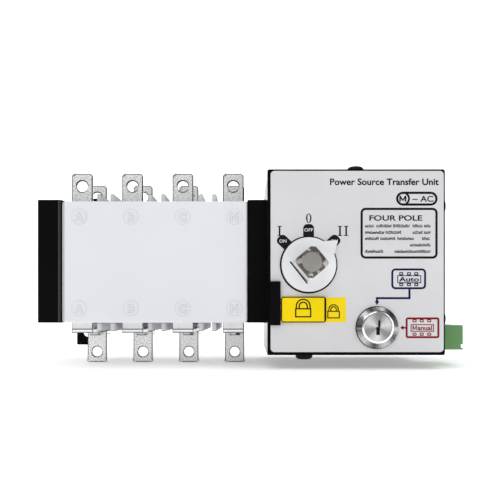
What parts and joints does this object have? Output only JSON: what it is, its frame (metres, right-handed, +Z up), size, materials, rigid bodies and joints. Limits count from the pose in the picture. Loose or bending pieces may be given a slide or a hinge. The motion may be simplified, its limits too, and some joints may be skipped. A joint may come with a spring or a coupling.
{
  "type": "changeover switch",
  "caption": "Multi-pole changeover switch: white pole unit with tinned terminal bars above and below, beside a black control box with square operating shaft, key switch and padlock slide.",
  "frame": {"origin": "centre of the four rear fixing holes, on the rear face of the base plate", "axes": "+Z up, +Y out of the back into the mounting surface, the front faces -Y, +X to the right towards the control box"},
  "size_m": [0.254, 0.128, 0.1174],
  "materials": {
    "black_steel": "satin powder coat",
    "zinc_steel": "zinc plated",
    "black_screws": "black oxide",
    "white_moulding": "fine matte moulding",
    "tinned_copper": "bright tin plate",
    "copper": "drawn copper",
    "silver_contact": "silver alloy",
    "arc_steel": "bare steel in fibre cheeks",
    "shaft_moulding": "dark moulding compound",
    "panel_print": "satin printed face",
    "selector_white": "satin moulding",
    "machined_steel": "milled",
    "brass_bush": "turned",
    "lock_yellow": "gloss paint",
    "black_plastic": "fine texture",
    "key_chrome": "polished",
    "key_brushed": "radially brushed",
    "motor_casing": "plated can",
    "board_green": "solder mask",
    "relay_blue": "moulded case",
    "plug_green": "moulded",
    "plug_screw_steel": "plated"
  },
  "bodies": {
    "housing": {"base_plate": "black_steel", "left_bracket": "black_steel", "right_bracket": "black_steel", "tie_bolts": "zinc_steel", "tie_nuts": "zinc_steel", "front_unit_case": "white_moulding", "rear_unit_case": "white_moulding", "front_cover": "white_moulding", "line_bars_front": "tinned_copper", "line_bars_rear": "tinned_copper", "bridge_bars": "tinned_copper", "rear_link_bars": "tinned_copper", "load_bars": "tinned_copper", "load_bar_screws": "zinc_steel", "fixed_contacts": "silver_contact", "collectors": "copper", "arc_chutes": "arc_steel", "box_shell": "black_steel", "front_panel": "black_steel", "face_plate": "panel_print", "box_screws": "black_screws", "panel_bush": "brass_bush", "lock_guide": "black_plastic", "key_switch_body": "key_chrome", "key_switch_nut": "zinc_steel", "key_contact_block": "black_plastic", "mechanism_plate": "zinc_steel", "standoffs": "zinc_steel", "rack_guides": "black_plastic", "gearbox": "motor_casing", "drive_motor": "motor_casing", "position_switches": "black_plastic", "controller_board": "board_green", "relays": "relay_blue", "capacitors": "relay_blue", "transformer": "motor_casing", "terminal_header": "plug_green", "auxiliary_switch": "black_plastic"},
    "selector": {"operating_shaft": "machined_steel", "pointer_disc": "selector_white", "position_cam": "black_plastic", "main_gear": "machined_steel", "selector_pinion": "machined_steel"},
    "rack": {"drive_rack": "machined_steel"},
    "front_contacts": {"contact_shaft_front": "shaft_moulding", "contact_gear_front": "machined_steel", "contact_arms_front": "copper", "moving_contacts_front": "silver_contact"},
    "rear_contacts": {"contact_shaft_rear": "shaft_moulding", "contact_gear_rear": "machined_steel", "contact_arms_rear": "copper", "moving_contacts_rear": "silver_contact"},
    "motor_output": {"motor_shaft": "zinc_steel", "motor_pinion": "machined_steel"},
    "key": {"key_cylinder": "key_brushed"},
    "lock": {"lock_slide": "lock_yellow", "lock_keeper": "black_plastic"},
    "plug": {"terminal_plug": "plug_green", "plug_screws": "plug_screw_steel"}
  },
  "joints": [
    {"name": "rack_slide", "type": "slide", "parent": "housing", "child": "rack", "axis": [0, 0, 1], "range_m": [-0.01221, 0]},
    {"name": "selector_turn", "type": "hinge", "parent": "housing", "child": "selector", "pos_m": [0.032, -0.097, -0.002], "axis": [0, -1, 0], "range_deg": [0, 100]},
    {"name": "front_contacts_turn", "type": "hinge", "parent": "housing", "child": "front_contacts", "pos_m": [0, -0.076, -0.004], "axis": [1, 0, 0], "range_deg": [-50.2, 0.2]},
    {"name": "rear_contacts_turn", "type": "hinge", "parent": "housing", "child": "rear_contacts", "pos_m": [0, -0.037, -0.004], "axis": [1, 0, 0], "range_deg": [-0.2, 50.2]},
    {"name": "motor_pinion_turn", "type": "hinge", "parent": "housing", "child": "motor_output", "pos_m": [0.057, -0.095, -0.002], "axis": [0, -1, 0], "range_deg": [-258, 0.5]},
    {"name": "key_turn", "type": "hinge", "parent": "housing", "child": "key", "pos_m": [0.0711, -0.108, -0.0379], "axis": [0, 1, 0], "range_deg": [0, 90]},
    {"name": "lock_slide_move", "type": "slide", "parent": "housing", "child": "lock", "axis": [1, 0, 0], "range_m": [0, 0.011]},
    {"name": "plug_pull", "type": "slide", "parent": "housing", "child": "plug", "axis": [1, 0, 0], "range_m": [0, 0.018]}
  ],
  "couplings": [
    {"joint": "selector_turn", "follows": "rack_slide", "rad_per_m": -142.86},
    {"joint": "front_contacts_turn", "follows": "rack_slide", "rad_per_m": 71.429},
    {"joint": "rear_contacts_turn", "follows": "rack_slide", "rad_per_m": -71.429},
    {"joint": "motor_pinion_turn", "follows": "rack_slide", "rad_per_m": 367.35}
  ]
}
